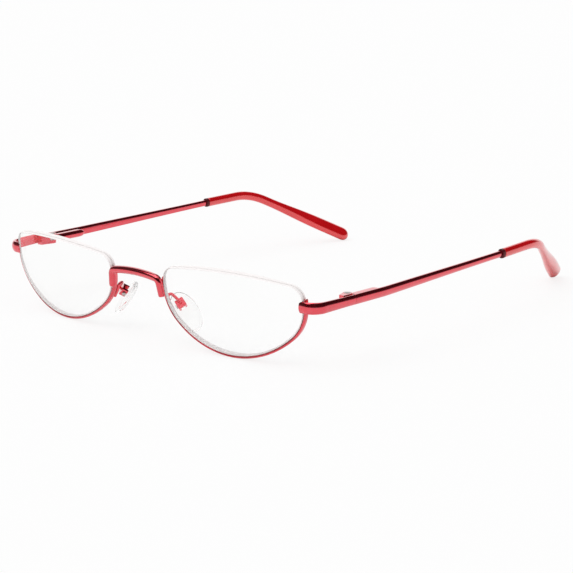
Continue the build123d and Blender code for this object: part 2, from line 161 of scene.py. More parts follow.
def makeRoom(plan):
    world = bpy.data.worlds.new("studio")
    bpy.context.scene.world = world
    world.use_nodes = True
    tree = world.node_tree
    tree.nodes.clear()
    plain = addNode(tree, "ShaderNodeBackground", Color=(1, 1, 1, 1), Strength=plan["level"])
    white = addNode(tree, "ShaderNodeBackground", Color=(1, 1, 1, 1), Strength=1.0)
    direction = addNode(tree, "ShaderNodeTexCoord").outputs["Generated"]
    split = addNode(tree, "ShaderNodeSeparateXYZ", i0=direction)
    ramp = addNode(tree, "ShaderNodeValToRGB", Fac=calc(tree, "MULTIPLY_ADD", split.outputs["Z"], 0.5, 0.5))
    stops = ramp.color_ramp.elements
    h, d, c = plan["horizon"], plan["dark"], plan["ceiling"]
    stops[0].position, stops[0].color = heightStop(0), (h, h, h, 1)
    stops[1].position, stops[1].color = heightStop(plan["ceilingFrom"]), (c, c, c, 1)
    for degrees in (plan["darkFrom"], plan["darkTo"]):
        stops.new(heightStop(degrees)).color = (d, d, d, 1)
    # the white backdrop behind the object, and a dim window on its left
    behind = addNode(tree, "ShaderNodeVectorMath", {"operation": "DOT_PRODUCT"}, i0=direction,
                     i1=viewAxis(plan["backdrop"], 0)).outputs["Value"]
    lower, upper = plan["backdropWidth"]
    backdrop = addNode(tree, "ShaderNodeMapRange", {"interpolation_type": "SMOOTHSTEP"}, Value=behind,
                       From_Min=lower, From_Max=upper).outputs["Result"]
    start, full = plan["window"]
    window = addNode(tree, "ShaderNodeMapRange", Value=split.outputs["X"], From_Min=start, From_Max=full,
                     To_Max=plan["sideGlow"]).outputs["Result"]
    level = calc(tree, "MAXIMUM", calc(tree, "MAXIMUM", ramp.outputs["Color"], window), backdrop)
    room = addNode(tree, "ShaderNodeBackground", Color=(1, 1, 1, 1), Strength=level)
    path = addNode(tree, "ShaderNodeLightPath")
    # a reflection inside clear plastic sees the white room
    outside = calc(tree, "LESS_THAN", path.outputs["Transmission Depth"], 0.5)
    shine = calc(tree, "MULTIPLY", path.outputs["Is Glossy Ray"], outside)
    inside = calc(tree, "SUBTRACT", path.outputs["Is Glossy Ray"], shine)
    seen = calc(tree, "MAXIMUM", path.outputs["Is Camera Ray"], path.outputs["Is Transmission Ray"])
    lit = addNode(tree, "ShaderNodeMixShader", i0=calc(tree, "MAXIMUM", seen, inside),
                  i1=plain.outputs[0], i2=white.outputs[0])
    both = addNode(tree, "ShaderNodeMixShader", i0=shine, i1=lit.outputs[0], i2=room.outputs[0])
    addNode(tree, "ShaderNodeOutputWorld", Surface=both.outputs[0])


def makeSun(plan):
    data = bpy.data.lights.new("softKey", "SUN")
    data.energy = plan["sun"]
    data.angle = math.radians(plan["sunWidth"])
    sun = linkObject("softKey", data)
    sun.rotation_mode = "QUATERNION"
    sun.rotation_quaternion = (-viewAxis(plan["sunAzimuth"], plan["sunHeight"])).to_track_quat("-Z", "Y")


def makeFloor(plan):
    mesh = bpy.data.meshes.new("floor")
    half = plan["paperHalf"]
    corners = [(-half, -half, 0), (half, -half, 0), (half, half, 0), (-half, half, 0)]
    mesh.from_pydata(corners, [], [tuple(range(len(corners)))])
    floor = linkObject("floor", mesh)
    material = bpy.data.materials.new("floorPaper")
    material.use_nodes = True
    tree = material.node_tree
    shader = tree.nodes["Principled BSDF"]
    shader.inputs["Base Color"].default_value = (plan["paper"], plan["paper"], plan["paper"], 1)
    shader.inputs["Roughness"].default_value = plan["paperRough"]
    shader.inputs["Specular IOR Level"].default_value = 0
    # the eye sees the paper nearly white and keeps a faint shadow
    glow = addNode(tree, "ShaderNodeEmission", Color=(1, 1, 1, 1), Strength=1.0)
    path = addNode(tree, "ShaderNodeLightPath")
    seen = calc(tree, "MAXIMUM", path.outputs["Is Camera Ray"], path.outputs["Is Transmission Ray"])
    share = calc(tree, "MULTIPLY", seen, plan["paperWhite"])
    mix = addNode(tree, "ShaderNodeMixShader", i0=share, i1=shader.outputs[0], i2=glow.outputs[0])
    tree.links.new(mix.outputs[0], tree.nodes["Material Output"].inputs["Surface"])
    mesh.materials.append(material)


makeRoom(roomPlan)
makeSun(roomPlan)
makeFloor(roomPlan)
bpy.context.scene.view_settings.view_transform = "Standard"
print("studio ready")

# Materials
metalLook = {"color": (0.82, 0.03, 0.06), "deep": (0.74, 0.022, 0.045), "patch": 260, "grain": 5200,
             "metallic": 0.95, "smooth": 0.1, "rough": 0.18, "bump": 0.00001, "coat": 1.0, "coatRough": 0.04,
             "coatIor": 1.8}
steelLook = {"color": (0.66, 0.63, 0.61), "deep": (0.45, 0.42, 0.41), "patch": 900, "grain": 9000,
             "metallic": 1.0, "smooth": 0.18, "rough": 0.34, "bump": 0.00001, "coat": 0.0, "coatRough": 0.1,
             "coatIor": 1.5}
tipLook = {"color": (0.85, 0.008, 0.014), "deep": (0.74, 0.005, 0.009), "patch": 110, "smooth": 0.03,
           "rough": 0.07, "metallic": 0.32, "transmission": 0.0, "ior": 1.5, "gloss": 0.5, "coat": 1.0,
           "coatIor": 1.8}
collarLook = {"color": (0.12, 0.006, 0.010), "deep": (0.06, 0.002, 0.004), "patch": 600, "smooth": 0.25,
              "rough": 0.4, "transmission": 0.0, "ior": 1.5, "gloss": 0.25}
lensLook = {"color": (1, 1, 1), "deep": (0.985, 0.99, 0.985), "patch": 40, "smooth": 0.0,
            "rough": 0.0, "transmission": 1.0, "ior": 1.15, "gloss": 0.2}
# the lens edge's pale pink tint is painted reflection of the red rims on a white-ish frosted edge
edgeLookPaintedRimReflection = {"color": (0.99, 0.955, 0.95), "deep": (0.97, 0.93, 0.925), "patch": 300, "smooth": 0.4,
            "rough": 0.6, "transmission": 0.0, "ior": 1.5, "gloss": 0.2}
padLook = {"color": (0.985, 0.985, 0.98), "deep": (0.955, 0.955, 0.95), "patch": 350, "smooth": 0.03,
           "rough": 0.09, "transmission": 1.0, "ior": 1.25, "gloss": 0.3}
lineLook = {"color": (0.98, 0.95, 0.945), "deep": (0.95, 0.92, 0.91), "patch": 800, "smooth": 0.2,
            "rough": 0.3, "transmission": 0.15, "ior": 1.5, "gloss": 0.2}
textures = {"cloudDetail": 3.0, "cloudRange": (0.3, 0.7), "grainDetail": 2.0, "grainRange": (0.2, 0.8),
            "grainShare": 0.5, "relief": 0.5}
shaderSockets = {"metallic": "Metallic", "transmission": "Transmission Weight", "ior": "IOR",
                 "gloss": "Specular IOR Level", "coat": "Coat Weight", "coatRough": "Coat Roughness",
                 "coatIor": "Coat IOR"}


def newMaterial(name, look):
    material = bpy.data.materials.new(name)
    material.use_nodes = True
    tree = material.node_tree
    shader = tree.nodes["Principled BSDF"]
    for key, socket in shaderSockets.items():
        if key in look:
            shader.inputs[socket].default_value = look[key]
    spot = addNode(tree, "ShaderNodeTexCoord").outputs["Object"]
    cloud = addNode(tree, "ShaderNodeTexNoise", Vector=spot, Scale=look["patch"],
                    Detail=textures["cloudDetail"]).outputs["Fac"]
    low, high = textures["cloudRange"]
    even = addNode(tree, "ShaderNodeMapRange", Value=cloud, From_Min=low, From_Max=high).outputs["Result"]
    # a colour mix takes its colours in sockets 6 and 7 and gives them in 2
    color = addNode(tree, "ShaderNodeMix", {"data_type": "RGBA"}, Factor=even, i6=(*look["deep"], 1),
                    i7=(*look["color"], 1))
    tree.links.new(color.outputs[2], shader.inputs["Base Color"])
    return material, tree, shader, spot, even


def metalMaterial(name, look):
    material, tree, shader, spot, even = newMaterial(name, look)
    grain = addNode(tree, "ShaderNodeTexNoise", Vector=spot, Scale=look["grain"],
                    Detail=textures["grainDetail"]).outputs["Fac"]
    share = textures["grainShare"]
    blend = calc(tree, "MULTIPLY_ADD", grain, share, calc(tree, "MULTIPLY", even, 1 - share))
    low, high = textures["grainRange"]
    rough = addNode(tree, "ShaderNodeMapRange", Value=blend, From_Min=low, From_Max=high,
                    To_Min=look["smooth"], To_Max=look["rough"]).outputs["Result"]
    tree.links.new(rough, shader.inputs["Roughness"])
    bump = addNode(tree, "ShaderNodeBump", Height=grain, Distance=look["bump"], Strength=textures["relief"])
    tree.links.new(bump.outputs[0], shader.inputs["Normal"])
    return material


def plasticMaterial(name, look):
    material, tree, shader, _, even = newMaterial(name, look)
    rough = addNode(tree, "ShaderNodeMapRange", Value=even, To_Min=look["smooth"], To_Max=look["rough"])
    tree.links.new(rough.outputs["Result"], shader.inputs["Roughness"])
    return material


platedRed = metalMaterial("platedRed", metalLook)
plainSteel = metalMaterial("plainSteel", steelLook)
tipRed = plasticMaterial("tipRed", tipLook)
collarRed = plasticMaterial("collarRed", collarLook)
lensClear = plasticMaterial("lensClear", lensLook)
lensEdge = plasticMaterial("lensEdge", edgeLookPaintedRimReflection)
padClear = plasticMaterial("padClear", padLook)
lineClear = plasticMaterial("lineClear", lineLook)
print("materials ready")


# Bars and wires: one tree sweeps a section along a path
def makeBarTree():
    tree = bpy.data.node_groups.new("barAlongPath", "GeometryNodeTree")
    face = tree.interface
    face.new_socket("Geometry", in_out="INPUT", socket_type="NodeSocketGeometry")
    numbers = ("Thickness", "Height", "End thickness", "End height", "Change from", "Change to", "Twist",
               "Front round", "Front share", "Rear round", "Rear share")
    kinds = {"Section": "Object", **{name: "Float" for name in numbers}, "Finish": "Material"}
    for name, kind in kinds.items():
        face.new_socket(name, in_out="INPUT", socket_type="NodeSocket" + kind)
    face.new_socket("Geometry", in_out="OUTPUT", socket_type="NodeSocketGeometry")
    given = addNode(tree, "NodeGroupInput").outputs
    line = addNode(tree, "GeometryNodeMeshToCurve", Mesh=given["Geometry"]).outputs[0]
    along = addNode(tree, "GeometryNodeSplineParameter").outputs
    whole = addNode(tree, "GeometryNodeSplineLength").outputs["Length"]

    def capture(geometry, items):
        node = addNode(tree, "GeometryNodeCaptureAttribute", {"domain": "POINT"})
        tree.links.new(geometry, node.inputs["Geometry"])
        for name, kind, value in items:
            node.capture_items.new(kind, name)
            tree.links.new(value, node.inputs[name])
        return node.outputs

    sideways = addNode(tree, "GeometryNodeInputNamedAttribute", {"data_type": "FLOAT_VECTOR"},
                       Name="side").outputs[0]
    path = capture(line, (("place", "VECTOR", addNode(tree, "GeometryNodeInputPosition").outputs[0]),
                          ("run", "VECTOR", addNode(tree, "GeometryNodeInputTangent").outputs[0]),
                          ("side", "VECTOR", sideways), ("share", "FLOAT", along["Factor"]),
                          ("before", "FLOAT", along["Length"]),
                          ("after", "FLOAT", calc(tree, "SUBTRACT", whole, along["Length"]))))
    ring = addNode(tree, "GeometryNodeObjectInfo", Object=given["Section"]).outputs["Geometry"]
    ring = addNode(tree, "GeometryNodeMeshToCurve", Mesh=ring).outputs[0]
    section = capture(ring, (("spot", "VECTOR", addNode(tree, "GeometryNodeInputPosition").outputs[0]),))
    skin = addNode(tree, "GeometryNodeCurveToMesh", Curve=path["Geometry"], Profile_Curve=section["Geometry"],
                   Fill_Caps=True).outputs[0]
    change = addNode(tree, "ShaderNodeMapRange", {"interpolation_type": "SMOOTHSTEP"}, Value=path["share"],
                     From_Min=given["Change from"], From_Max=given["Change to"]).outputs["Result"]

    # an end rounds off in a quarter circle, down to a share of the full size
    def shrink(distance, length, share):
        left = calc(tree, "SUBTRACT", 1.0, calc(tree, "MINIMUM", calc(tree, "DIVIDE", distance, length), 1.0))
        rest = calc(tree, "SUBTRACT", 1.0, calc(tree, "POWER", left, 2.0))
        arc = calc(tree, "SQRT", calc(tree, "MAXIMUM", rest, 0.0))
        return calc(tree, "MULTIPLY_ADD", calc(tree, "SUBTRACT", 1.0, share), arc, share)

    ends = calc(tree, "MULTIPLY", shrink(path["before"], given["Front round"], given["Front share"]),
                shrink(path["after"], given["Rear round"], given["Rear share"]))
    half = calc(tree, "MULTIPLY", ends, 0.5)
    spot = addNode(tree, "ShaderNodeSeparateXYZ", i0=section["spot"]).outputs
    turned = addNode(tree, "ShaderNodeVectorRotate", {"rotation_type": "AXIS_ANGLE"}, Vector=path["side"],
                     Axis=path["run"], Angle=calc(tree, "MULTIPLY", given["Twist"], change)).outputs[0]
    raised = vectorCalc(tree, "CROSS_PRODUCT", path["run"], turned)
    place = path["place"]
    for direction, across, first, last in ((turned, spot["X"], "Thickness", "End thickness"),
                                           (raised, spot["Y"], "Height", "End height")):
        growth = calc(tree, "SUBTRACT", given[last], given[first])
        size = calc(tree, "MULTIPLY_ADD", growth, change, given[first])
        reach = calc(tree, "MULTIPLY", calc(tree, "MULTIPLY", size, half), across)
        scaled = addNode(tree, "ShaderNodeVectorMath", {"operation": "SCALE"}, i0=direction,
                         Scale=reach).outputs[0]
        place = vectorCalc(tree, "ADD", place, scaled)
    skin = addNode(tree, "GeometryNodeSetPosition", Geometry=skin, Position=place).outputs[0]
    skin = addNode(tree, "GeometryNodeRealizeInstances", Geometry=skin).outputs[0]
    skin = addNode(tree, "GeometryNodeSetMaterial", Geometry=skin, Material=given["Finish"]).outputs[0]
    addNode(tree, "NodeGroupOutput", Geometry=skin)
    return tree


barTree = makeBarTree()


# Sections, each drawn two wide and two high for the tree to size
sectionSteps = {"crownSteps": 12, "cornerSteps": 5}


def barrelSection(name, sizes):
    s = {**sectionSteps, **sizes}
    thickness, height, corner = s["thickness"], s["height"], s["corner"]
    crownSteps, cornerSteps = s["crownSteps"], s["cornerSteps"]
    flat = height / 2 - corner
    half = []
    for bulge, turn in ((s["crown"], 1), (s["innerCrown"], -1)):
        bow = (flat**2 + bulge**2) / (2 * bulge)
        edge = math.asin(flat / bow)
        arc = [(thickness / 2 - corner - bow + bow * math.cos(edge * k / crownSteps),
                bow * math.sin(edge * k / crownSteps), edge * k / crownSteps) for k in range(crownSteps + 1)]
        arc += [(thickness / 2 - corner - bulge, flat, edge + (math.pi / 2 - edge) * k / cornerSteps)
                for k in range(1, cornerSteps + 1)]
        outer = [((x + corner * math.cos(a)) / (thickness / 2) * turn,
                  (y + corner * math.sin(a)) / (height / 2)) for x, y, a in arc]
        half += outer if turn == 1 else outer[::-1]
    return sectionObject(name, [(x, y, 0) for x, y in half] + [(x, -y, 0) for x, y in half[-2:0:-1]])


def roundSection(name, steps):
    return sectionObject(name, [(math.cos(2 * math.pi * k / steps), math.sin(2 * math.pi * k / steps), 0)
                                for k in range(steps)])


def sectionObject(name, corners):
    mesh = bpy.data.meshes.new(name)
    mesh.from_pydata(corners, [(k, (k + 1) % len(corners)) for k in range(len(corners))], [])
    return linkObject(name, mesh)


# Paths: straight runs joined by arcs, then points set closer towards both ends
def roundedRoute(points, radius, arcSteps, straight=0.001):
    route = [points[0]]
    for before, corner, after in zip(points, points[1:], points[2:]):
        a, b = (corner - before).normalized(), (after - corner).normalized()
        turn = a.angle(b)
        if turn < straight:
            continue
        axis = a.cross(b).normalized()
        start = corner - a * radius * math.tan(turn / 2)
        centre = start + axis.cross(a) * radius
        route += [centre + Matrix.Rotation(turn * k / arcSteps, 3, axis) @ (start - centre)
                  for k in range(arcSteps + 1)]
    return route + [points[-1]]


def spacedRoute(route, step, frontRound, rearRound, endSteps=8):
    lengths = [0]
    for a, b in zip(route, route[1:]):
        lengths.append(lengths[-1] + (b - a).length)
    total = lengths[-1]
    ease = [1 - math.cos(math.pi / 2 * k / endSteps) for k in range(endSteps)]
    middle = total - frontRound - rearRound
    count = max(2, round(middle / step))
    stops = [frontRound * e for e in ease] + [frontRound + middle * k / count for k in range(count + 1)]
    stops += [total - rearRound * e for e in reversed(ease)]
    spaced, k = [], 0
    for stop in stops:
        while k < len(lengths) - 2 and lengths[k + 1] < stop:
            k += 1
        spaced.append(route[k].lerp(route[k + 1], (stop - lengths[k]) / (lengths[k + 1] - lengths[k])))
    return spaced


# the way a section faces at each point: by a rule, or carried on from the point before
def carriedSides(points, rule):
    sides, last = [], None
    for k in range(len(points)):
        run = (points[min(k + 1, len(points) - 1)] - points[max(k - 1, 0)]).normalized()
        side = rule(run) if rule else (last or run.orthogonal())
        last = (side - run * side.dot(run)).normalized()
        sides.append(last)
    return sides


def plainMesh(thing, name):
    bpy.context.view_layer.update()
    mesh = bpy.data.meshes.new_from_object(thing.evaluated_get(bpy.context.evaluated_depsgraph_get()))
    mesh.name = name
    bpy.data.objects.remove(thing)
    return mesh


def sweepBar(name, route, sizes, section, material, side, rule=None):
    points = spacedRoute(route, sizes["step"], sizes["frontRound"], sizes["rearRound"])
    sides = carriedSides(points, rule)
    mesh = bpy.data.meshes.new(name)
    mesh.from_pydata([at(*p, side) for p in points], [(k, k + 1) for k in range(len(points) - 1)], [])
    held = mesh.attributes.new("side", "FLOAT_VECTOR", "POINT")
    held.data.foreach_set("vector", [c for s in sides for c in (s.x * side, s.y, s.z)])
    thing = linkObject(name, mesh)
    modifier = thing.modifiers.new("bar", "NODES")
    modifier.node_group = barTree
    inputs = {"Section": section, "Thickness": sizes["thickness"] * mm, "Height": sizes["height"] * mm,
              "End thickness": sizes.get("endThickness", sizes["thickness"]) * mm,
              "End height": sizes.get("endHeight", sizes["height"]) * mm,
              "Change from": sizes.get("changeFrom", 0.0), "Change to": sizes.get("changeTo", 1.0),
              "Twist": math.radians(sizes.get("twist", 0.0)) * side,
              "Front round": sizes["frontRound"] * mm, "Front share": sizes.get("frontShare", 1.0),
              "Rear round": sizes["rearRound"] * mm, "Rear share": sizes.get("rearShare", 1.0),
              "Finish": material}
    for socket in barTree.interface.items_tree:
        if socket.in_out == "INPUT" and socket.name in inputs:
            modifier[socket.identifier] = inputs[socket.name]
    mesh = plainMesh(thing, name)
    mesh.attributes.remove(mesh.attributes["side"])
    return linkObject(name, mesh)


def tidyMesh(thing, sharp=35, merge=0.002):
    mesh = thing.data
    shape = bmesh.new()
    shape.from_mesh(mesh)
    bmesh.ops.remove_doubles(shape, verts=shape.verts, dist=merge * mm)
    bmesh.ops.recalc_face_normals(shape, faces=shape.faces)
    shape.to_mesh(mesh)
    shape.free()
    mesh.shade_smooth()
    mesh.set_sharp_from_angle(angle=math.radians(sharp))


def meshFrom(shape, name):
    mesh = bpy.data.meshes.new(name)
    shape.to_mesh(mesh)
    shape.free()
    return mesh


def joinPieces(name, things):
    shape = bmesh.new()
    for thing in things:
        shape.from_mesh(thing.data)
    mesh = meshFrom(shape, name)
    for material in things[0].data.materials:
        mesh.materials.append(material)
    for thing in things:
        bpy.data.objects.remove(thing)
    return linkObject(name, mesh)


def cutAway(thing, cutters):
    for cutter in cutters:
        cut = thing.modifiers.new("cut", "BOOLEAN")
        cut.object, cut.operation, cut.solver = cutter, "DIFFERENCE", "EXACT"
    name = thing.name
    mesh = plainMesh(thing, name)
    return linkObject(name, mesh)


finished = {}


def finish(thing, node, slotName, **tidiness):
    tidyMesh(thing, **tidiness)
    body = body_of(frame["nodes"][node])[0]
    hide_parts(node)
    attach(thing, body)
    finished[node] = thing


sideNames = ((1, "left"), (-1, "right"))

# Lenses: round-bottomed meniscus, tilted and wrapped
lensSizes = {"width": 50.0, "height": 24.9, "gap": 22.4, "top": 9.7, "browDrop": 2.8, "cheekRise": 12.0,
             "browRadius": 4.6, "cheekRadius": 12.5, "frontRadius": 88.0, "rearRadius": 136.0, "edge": 2.0,
             "templeY": -0.3, "wrap": 6.5, "tilt": 8.0, "grooveDepth": 0.45, "grooveWidth": 0.5,
             "chamfer": 0.15, "rings": 16, "steps": 240, "fineSteps": 960, "arcStep": 0.15, "arcLeast": 3,
             "sharp": 25}
roomSizes = {"clearance": 0.1, "rings": 6, "steps": 120}  # the lens's room, cut out of its neighbours

wrap, tilt = math.radians(lensSizes["wrap"]), math.radians(lensSizes["tilt"])
chord = Vector((math.cos(wrap), math.sin(wrap), 0))
ahead = Vector((math.sin(wrap) * math.cos(tilt), -math.cos(wrap) * math.cos(tilt), -math.sin(tilt)))
rise = ahead.cross(chord)
lensMiddleZ = lensSizes["top"] - lensSizes["height"] / 2 * math.cos(tilt)

# the outline's four arcs: wide ones over and under, a brow and a cheek arc at each side
halfWidth, halfHeight = lensSizes["width"] / 2, lensSizes["height"] / 2
topRadius = (halfWidth**2 + lensSizes["browDrop"] ** 2) / (2 * lensSizes["browDrop"])
lowRadius = (halfWidth**2 + lensSizes["cheekRise"] ** 2) / (2 * lensSizes["cheekRise"])
browAcross, cheekAcross = halfWidth - lensSizes["browRadius"], halfWidth - lensSizes["cheekRadius"]
browRoot = math.sqrt((topRadius - lensSizes["browRadius"]) ** 2 - browAcross**2)
cheekRoot = math.sqrt((lowRadius - lensSizes["cheekRadius"]) ** 2 - cheekAcross**2)
browLevel, cheekLevel = halfHeight - topRadius + browRoot, lowRadius - halfHeight - cheekRoot


def lensLevel(z):
    return (z - lensMiddleZ) / math.cos(tilt)


lensCentre = Vector((lensSizes["gap"] / 2 + halfWidth * math.cos(wrap),
                     lensSizes["templeY"] - halfWidth * math.sin(wrap)
                     - (rise * lensLevel(drawing["templeZ"])).y, lensMiddleZ))


def lensPoint(across, level, forward):
    return lensCentre + chord * across + rise * level + ahead * forward


def sag(radius, across, level):
    return math.sqrt(radius**2 - across**2 - level**2)


frontSag = sag(lensSizes["frontRadius"], halfWidth, 0)
rearSag = sag(lensSizes["rearRadius"], halfWidth, 0)


def frontDepth(across, level, behind=0.0):
    return sag(lensSizes["frontRadius"] - behind, across, level) - frontSag


def rearDepth(across, level):
    return sag(lensSizes["rearRadius"], across, level) - rearSag - lensSizes["edge"]


def lensOutline(growth, steps):
    s = lensSizes
    brow, cheek = Vector((browAcross, browLevel)), Vector((cheekAcross, cheekLevel))
    browAngle = math.atan2(brow.y + topRadius - halfHeight, brow.x)
    cheekAngle = math.atan2(cheek.y - lowRadius + halfHeight, cheek.x)
    # arcs of one half, top middle to bottom middle: centre, radius, start and stop angle
    arcs = [(Vector((0, halfHeight - topRadius)), topRadius, math.pi / 2, browAngle),
            (brow, s["browRadius"], browAngle, 0.0), (cheek, s["cheekRadius"], 0.0, cheekAngle),
            (Vector((0, lowRadius - halfHeight)), lowRadius, cheekAngle, -math.pi / 2)]
    half = []
    for centre, radius, start, stop in arcs:
        grown = radius + growth
        count = max(s["arcLeast"], round(abs(start - stop) * grown / s["arcStep"]))
        for k in range(count + 1):
            a = start + (stop - start) * k / count
            half.append(Vector((centre.x + grown * math.cos(a), centre.y + grown * math.sin(a))))
    loop = half + [Vector((-p.x, p.y)) for p in reversed(half)]
    lengths = [0]
    for a, b in zip(loop, loop[1:]):
        lengths.append(lengths[-1] + (b - a).length)
    points, k = [], 0
    for j in range(steps):
        stop = lengths[-1] * (j / steps)
        while k < len(loop) - 2 and lengths[k + 1] < stop:
            k += 1
        span = lengths[k + 1] - lengths[k]
        points.append(loop[k].lerp(loop[k + 1], (stop - lengths[k]) / span if span else 0))
    return points


def lensMesh(name, side, growth, rings, steps, groove):
    s = lensSizes
    edge = lensOutline(growth, steps)
    inner = lensOutline(growth - s["chamfer"], steps)
    deep = lensOutline(growth - s["grooveDepth"], steps)
    start = s["edge"] / 2 - s["grooveWidth"] / 2
    stop = start + s["grooveWidth"]

    def disc(k, depth, lift):
        spots = [(p.x * k / rings, p.y * k / rings) for p in inner]
        return [(x, y, depth(x, y) + lift) for x, y in spots]

    # rows from the front's middle out, over the edge and its groove, and in along the rear
    rows, kinds = [], []
    for k in range(1, rings + 1):
        rows.append(disc(k, frontDepth, growth))
        kinds.append(0)
    rows.append([(p.x, p.y, frontDepth(p.x, p.y) + growth - s["chamfer"]) for p in edge])
    kinds.append(1)
    if groove:
        for ring, behind in ((edge, start), (deep, start), (deep, stop), (edge, stop)):
            rows.append([(p.x, p.y, frontDepth(p.x, p.y, behind)) for p in ring])
            kinds.append(1)
    rows.append([(p.x, p.y, rearDepth(p.x, p.y) - growth + s["chamfer"]) for p in edge])
    kinds.append(1)
    for k in range(rings, 0, -1):
        rows.append(disc(k, rearDepth, -growth))
        kinds.append(1 if k == rings else 0)
    middles = (0, 0, frontDepth(0, 0) + growth), (0, 0, rearDepth(0, 0) - growth)
    points = [middles[0], *(p for row in rows for p in row), middles[1]]
    faces, slots = [], []
    for j in range(steps):
        faces.append((0, 1 + j, 1 + (j + 1) % steps))
        slots.append(0)
    for r in range(len(rows) - 1):
        for j in range(steps):
            a, b = 1 + r * steps, 1 + (r + 1) * steps
            faces.append((a + j, b + j, b + (j + 1) % steps, a + (j + 1) % steps))
            slots.append(kinds[r + 1])
    last, a = len(points) - 1, 1 + (len(rows) - 1) * steps
    for j in range(steps):
        faces.append((a + j, last, a + (j + 1) % steps))
        slots.append(0)
    mesh = bpy.data.meshes.new(name)
    mesh.from_pydata([at(*lensPoint(*p), side) for p in points], [], faces)
    mesh.materials.append(lensClear)
    mesh.materials.append(lensEdge)
    mesh.polygons.foreach_set("material_index", slots)
    return linkObject(name, mesh)


cutters = {}
for side, label in sideNames:
    lens = lensMesh("lens" + label.title(), side, 0.0, lensSizes["rings"], lensSizes["steps"], True)
    finish(lens, "lens_" + label, "lens", sharp=lensSizes["sharp"])
    cutters[label] = lensMesh("room" + label.title(), side, roomSizes["clearance"], roomSizes["rings"],
                              roomSizes["steps"], False)
    tidyMesh(cutters[label], lensSizes["sharp"])
print("lenses made")

# Half rims: channel wires under the lenses, the lip in the groove, and the nylon line above
rimSizes = {"wall": 0.85, "fit": 0.03, "height": 1.6, "setback": 0.1, "top": 4.05, "crown": 0.14,
            "innerCrown": 0.02, "corner": 0.34, "step": 0.5, "frontRound": 0.3, "rearRound": 0.3,
            "frontShare": 0.7, "rearShare": 0.7}
rimSizes["thickness"] = rimSizes["wall"] - rimSizes["fit"]
lipSizes = {"thickness": 0.43, "height": 0.44, "bite": 0.05, "crown": 0.06, "innerCrown": 0.02, "corner": 0.1,
            "crownSteps": 4, "cornerSteps": 3, "step": 0.6, "frontRound": 0.1, "rearRound": 0.1}
lineSizes = {**lipSizes, "share": 0.9, "inset": 0.04}  # thinner than the lip, and under the lens edge
lineSizes["thickness"] *= lineSizes["share"]


def outlineRoute(growth, behind, above):
    # the stretch of outline over or under the rim's top level, in the lens's own plane
    steps = lensSizes["fineSteps"]
    loop = lensOutline(growth, steps)
    level = lensLevel(rimSizes["top"])
    kept = [k for k, p in enumerate(loop) if (p.y > level) == above]
    if above:
        first = next(k for k in kept if (k - 1) % steps not in kept)
        kept = [(first + j) % steps for j in range(len(kept))]
    return [lensPoint(loop[k].x, loop[k].y, frontDepth(loop[k].x, loop[k].y, behind)) for k in kept]


def outward(run):
    return run.cross(ahead)


rimSection = barrelSection("rimSection", rimSizes)
lipSection = barrelSection("lipSection", lipSizes)
rimMiddle = (rimSizes["wall"] + rimSizes["fit"]) / 2
grooveMiddle = lensSizes["edge"] / 2
for side, label in sideNames:
    route = outlineRoute(rimMiddle, rimSizes["setback"] + rimSizes["height"] / 2, False)
    channel = sweepBar("channel", route, rimSizes, rimSection, platedRed, side, outward)
    route = outlineRoute(lipSizes["bite"] - lipSizes["thickness"] / 2, grooveMiddle, False)
    lip = sweepBar("lip", route, lipSizes, lipSection, platedRed, side, outward)
    rim = joinPieces("rim" + label.title(), [channel, lip])
    finish(rim, "rim_" + label, "frame")
    route = outlineRoute(-lineSizes["inset"] - lipSizes["thickness"] / 2, grooveMiddle, True)
    line = sweepBar("line" + label.title(), route, lineSizes, lipSection, lineClear, side, outward)
    finish(line, "lens_line_" + label, "line")
print("rims and lines made")

# Bridge: one bar bent into an arch, its legs in front of the rims
bridgeSizes = {"height": 2.2, "thickness": 2.0, "crown": 0.45, "innerCrown": 0.1, "corner": 0.5,
               "cornerSteps": 6, "seat": 0.45, "top": 5.6, "shoulder": 4.7, "halfWidth": 11.6, "bend": 1.75,
               "bendClear": 1.2, "legWidth": 1.9, "legDrop": 1.6, "legSplay": 0.7, "curveSteps": 30,
               "arcSteps": 16, "step": 0.35, "frontRound": 0.5, "rearRound": 0.5, "frontShare": 0.72,
               "rearShare": 0.72}


def makeBridge(s):
    nasal = lensPoint(-halfWidth, lensLevel(0), -rimSizes["setback"])
    forward = Vector((0, -math.cos(tilt), -math.sin(tilt)))
    upward = Vector((0, -math.sin(tilt), math.cos(tilt)))
    zero = Vector((0, nasal.y + s["seat"], 0)) + forward * s["thickness"] / 2
    top = s["halfWidth"] - s["legSplay"] - s["legWidth"] / 2
    low = s["halfWidth"] - s["legWidth"] / 2
    arch = [Vector((low, -s["legDrop"])), Vector((top, s["shoulder"] - s["height"] / 2))]
    crown = s["top"] - s["height"] / 2
    drop = s["top"] - s["shoulder"]
    bow = (top**2 + drop**2) / (2 * drop)
    corner = math.asin(top / bow)
    curve = [Vector((bow * math.sin(corner * a), crown - bow + bow * math.cos(corner * a)))
             for a in (1 - k / s["curveSteps"] for k in range(2 * s["curveSteps"] + 1))]
    # the shoulder bends start clear of the arch's ends
    clear = [p for p in curve if abs(p.x) < top - s["bend"] * s["bendClear"]]
    points = arch + clear + [Vector((-p.x, p.y)) for p in reversed(arch)]
    shape = [zero + Vector((1, 0, 0)) * p.x + upward * p.y for p in points]
    start, end = (roundedRoute(run, s["bend"], s["arcSteps"]) for run in (shape[:3], shape[-3:]))
    route = start[:-1] + shape[2:-2] + end[1:]
    section = barrelSection("bridgeSection", s)
    bar = sweepBar("bridge", route, s, section, platedRed, 1, lambda run: forward)
    bpy.data.objects.remove(section)
    return bar


bridge = cutAway(makeBridge(bridgeSizes), list(cutters.values()))
bridge.name = "bridgeArch"
finish(bridge, "bridge", "frame")
print("bridge made")

